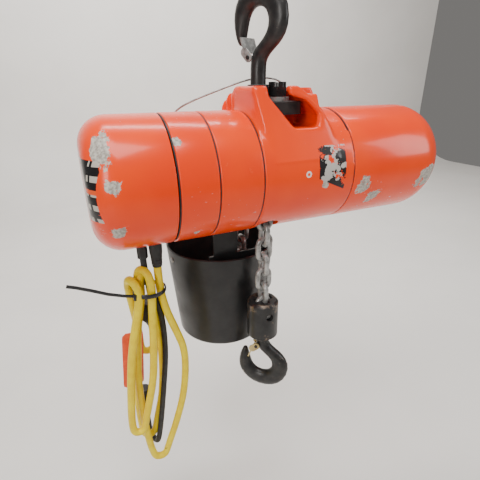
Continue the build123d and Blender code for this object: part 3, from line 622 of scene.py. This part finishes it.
# ---- chain container ----
TOP_R, LOW_R, TOP_Z, LOW_Z = 71.0, 60.0, -258.0, -388.0
container = [(LOW_Z, 0.0), (LOW_Z, LOW_R - 6)] + arc((LOW_Z + 6, LOW_R - 6), 6, 180, 90, 6)
container += [(TOP_Z - 8, TOP_R - 0.6), (TOP_Z - 1.2, TOP_R), (TOP_Z, TOP_R - 1.2),
              (TOP_Z - 1.2, TOP_R - 2.5),
              (LOW_Z + 9, LOW_R - 2.5), (LOW_Z + 4.5, LOW_R - 6.5), (LOW_Z + 3, LOW_R - 11), (LOW_Z + 3, 0.0)]
lathed("container_shell", container, (TUB_X, TUB_Y, 0), (0, 0, 1), "casing", black_satin, "black_steel",
       "chain_container")

SCREW_OUT = 69.9
screw_turn = math.radians(190)
screw_way = (math.cos(screw_turn), math.sin(screw_turn), 0)
lathed("container_screw", [(0, 0.0), (0, 3.6), (0.8, 3.4), (1.5, 2.4), (1.9, 0.0)],
       (TUB_X + SCREW_OUT * screw_way[0], TUB_Y + SCREW_OUT * screw_way[1], -271), screw_way, "casing", zinc,
       "zinc_steel", steps=24)

# ---- boot, plugs, wire, tie and tag ----
boot = [(-219.5, 0.0), (-219.5, 6.9), (-222, 7.2), (-233, 6.7), (-236, 6.2)]
for rib in range(3):
    top = -237.0 - rib * 3.4
    boot += [(top, 6.2 - rib * 0.2), (top - 1.8, 6.1 - rib * 0.2), (top - 2.1, 5.7 - rib * 0.2),
             (top - 3.2, 5.7 - rib * 0.2)]
boot += [(-248.4, 5.3), (-249, 4.9), (-249, 0.0)]
boot_piece = lathed("cord_boot_ribbed", boot, (-121, -2, 0), (0, 0, 1), "casing", rubber, "black_rubber",
                    "cord_boot", steps=48)
plug = [(-352, 0.0), (-352, 5.2), (-345, 6.0), (-338, 9.5), (-333, 13.4), (-330, 14), (-311, 14),
        (-308.5, 13), (-308, 11), (-308, 0.0)]
plug_piece = lathed("supply_plug_body", plug, (-128, 33, 0), (0, 0, 1), "casing", rubber, "black_rubber",
                    "supply_plug", steps=48)
end_plug = [(-470, 0.0), (-470, 4.5), (-463, 5.2), (-460, 7.6), (-448, 8), (-447, 7), (-445, 7), (-444, 8),
            (-435, 8), (-434, 7), (-434, 0.0)]
end_piece = lathed("control_plug_body", end_plug, (-150, 26, 0), (0, 0, 1), "casing", rubber, "black_rubber",
                   "control_plug", steps=48)

wire_route = [(38.8, 14, -69.6), (33, 14, -65), (22, 14, -62.6), (8, 14, -62.3), (-8, 15, -65),
              (-26, 16, -70.5), (-45, 19, -77), (-63, 25, -84), (-75, 35, -91), (-81, 46, -100),
              (-81.9, 51.5, -105.5)]
cord_curve("steady_wire_run", wire_route, 1.9, zinc, "zinc_steel", "steady_wire")

bm = bmesh.new()
band = []
for index in range(32):
    turn = math.tau * index / 32
    place = Vector((-131.5 + 17.5 * math.cos(turn), 1.0 + 16.5 * math.sin(turn), -277.0))
    outward = Vector((math.cos(turn), math.sin(turn), 0))
    along = Vector((-math.sin(turn), math.cos(turn), 0))
    band.append(ring_matrix(place * MM, along, outward, 0.8 * MM, 2.6 * MM))
bridged(bm, band, 8, True)
head = bmesh.ops.create_cube(bm, size=1.0, matrix=Matrix.Translation(at(-147.5, -9, -277)) @ Matrix.Diagonal(
    (7 * MM, 5 * MM, 7.5 * MM, 1)))
edges = list({e for v in head["verts"] for e in v.link_edges})
bmesh.ops.bevel(bm, geom=edges, offset=0.8 * MM, segments=2, profile=0.5, affect="EDGES", material=-1)
tail = []
for x, z in ((-147, -277), (-160, -273), (-175, -267), (-190, -259), (-203, -252.5), (-211.5, -249)):
    tail.append(ring_matrix(at(x, -8.5, z), Vector((-1, 0, 0.4)), Vector((0, 1, 0)), 0.8 * MM, 1.9 * MM))
bridged(bm, tail, 8, False)
bmesh.ops.recalc_face_normals(bm, faces=bm.faces)
tie_piece = place_piece("cable_tie_band", bm, "casing", nylon, "black_plastic", "cable_tie")

bm = bmesh.new()
bmesh.ops.create_grid(bm, x_segments=10, y_segments=24, size=0.5)
bmesh.ops.scale(bm, vec=(25 * MM, 78 * MM, 1), verts=bm.verts)
for vert in bm.verts:
    along, high = vert.co.x / MM, vert.co.y / MM
    squeeze = 1 - 0.35 * max(0.0, (abs(high) - 34) / 5) ** 2
    bend = 1.6 * math.sin(high * 0.05) + 0.006 * along * along
    lean = -158 + 0.1 * high
    vert.co = at(lean + along * squeeze, 22.5 + bend, -382 + high)
bmesh.ops.recalc_face_normals(bm, faces=bm.faces)
bmesh.ops.solidify(bm, geom=bm.faces, thickness=0.9 * MM)
tag_piece = place_piece("cord_tag_sheet", bm, "casing", tag_red, "red_plastic", "cord_tag")

# ---- stage ----
bm = bmesh.new()
bmesh.ops.create_grid(bm, x_segments=1, y_segments=1, size=2.4)
bmesh.ops.translate(bm, vec=(0.3, -0.3, -0.66), verts=bm.verts)
back = [e for e in bm.edges if all(v.co.y > 2.0 for v in e.verts)]
raised = bmesh.ops.extrude_edge_only(bm, edges=back)["geom"]
bmesh.ops.translate(bm, vec=(0, 0, 3.2), verts=[g for g in raised if isinstance(g, bmesh.types.BMVert)])
corner = [e for e in bm.edges if all(abs(v.co.z + 0.66) < 1e-5 and v.co.y > 2.0 for v in e.verts)]
bmesh.ops.bevel(bm, geom=corner, offset=0.4, segments=12, profile=0.5, affect="EDGES", material=-1)
for face in bm.faces:
    face.smooth = True
floor_mesh = bpy.data.meshes.new("floor")
bm.to_mesh(floor_mesh)
bm.free()
floor = bpy.data.objects.new("floor", floor_mesh)
bpy.context.scene.collection.objects.link(floor)
pale = Finish("pale_floor", Roughness=0.6)
cloud = pale.ramp(pale.noise(3), 0.3, 0.7)
pale.set(Base_Color=pale.mix(cloud, (0.78, 0.76, 0.73, 1), (0.82, 0.80, 0.77, 1)))
floor_mesh.materials.append(pale.material)
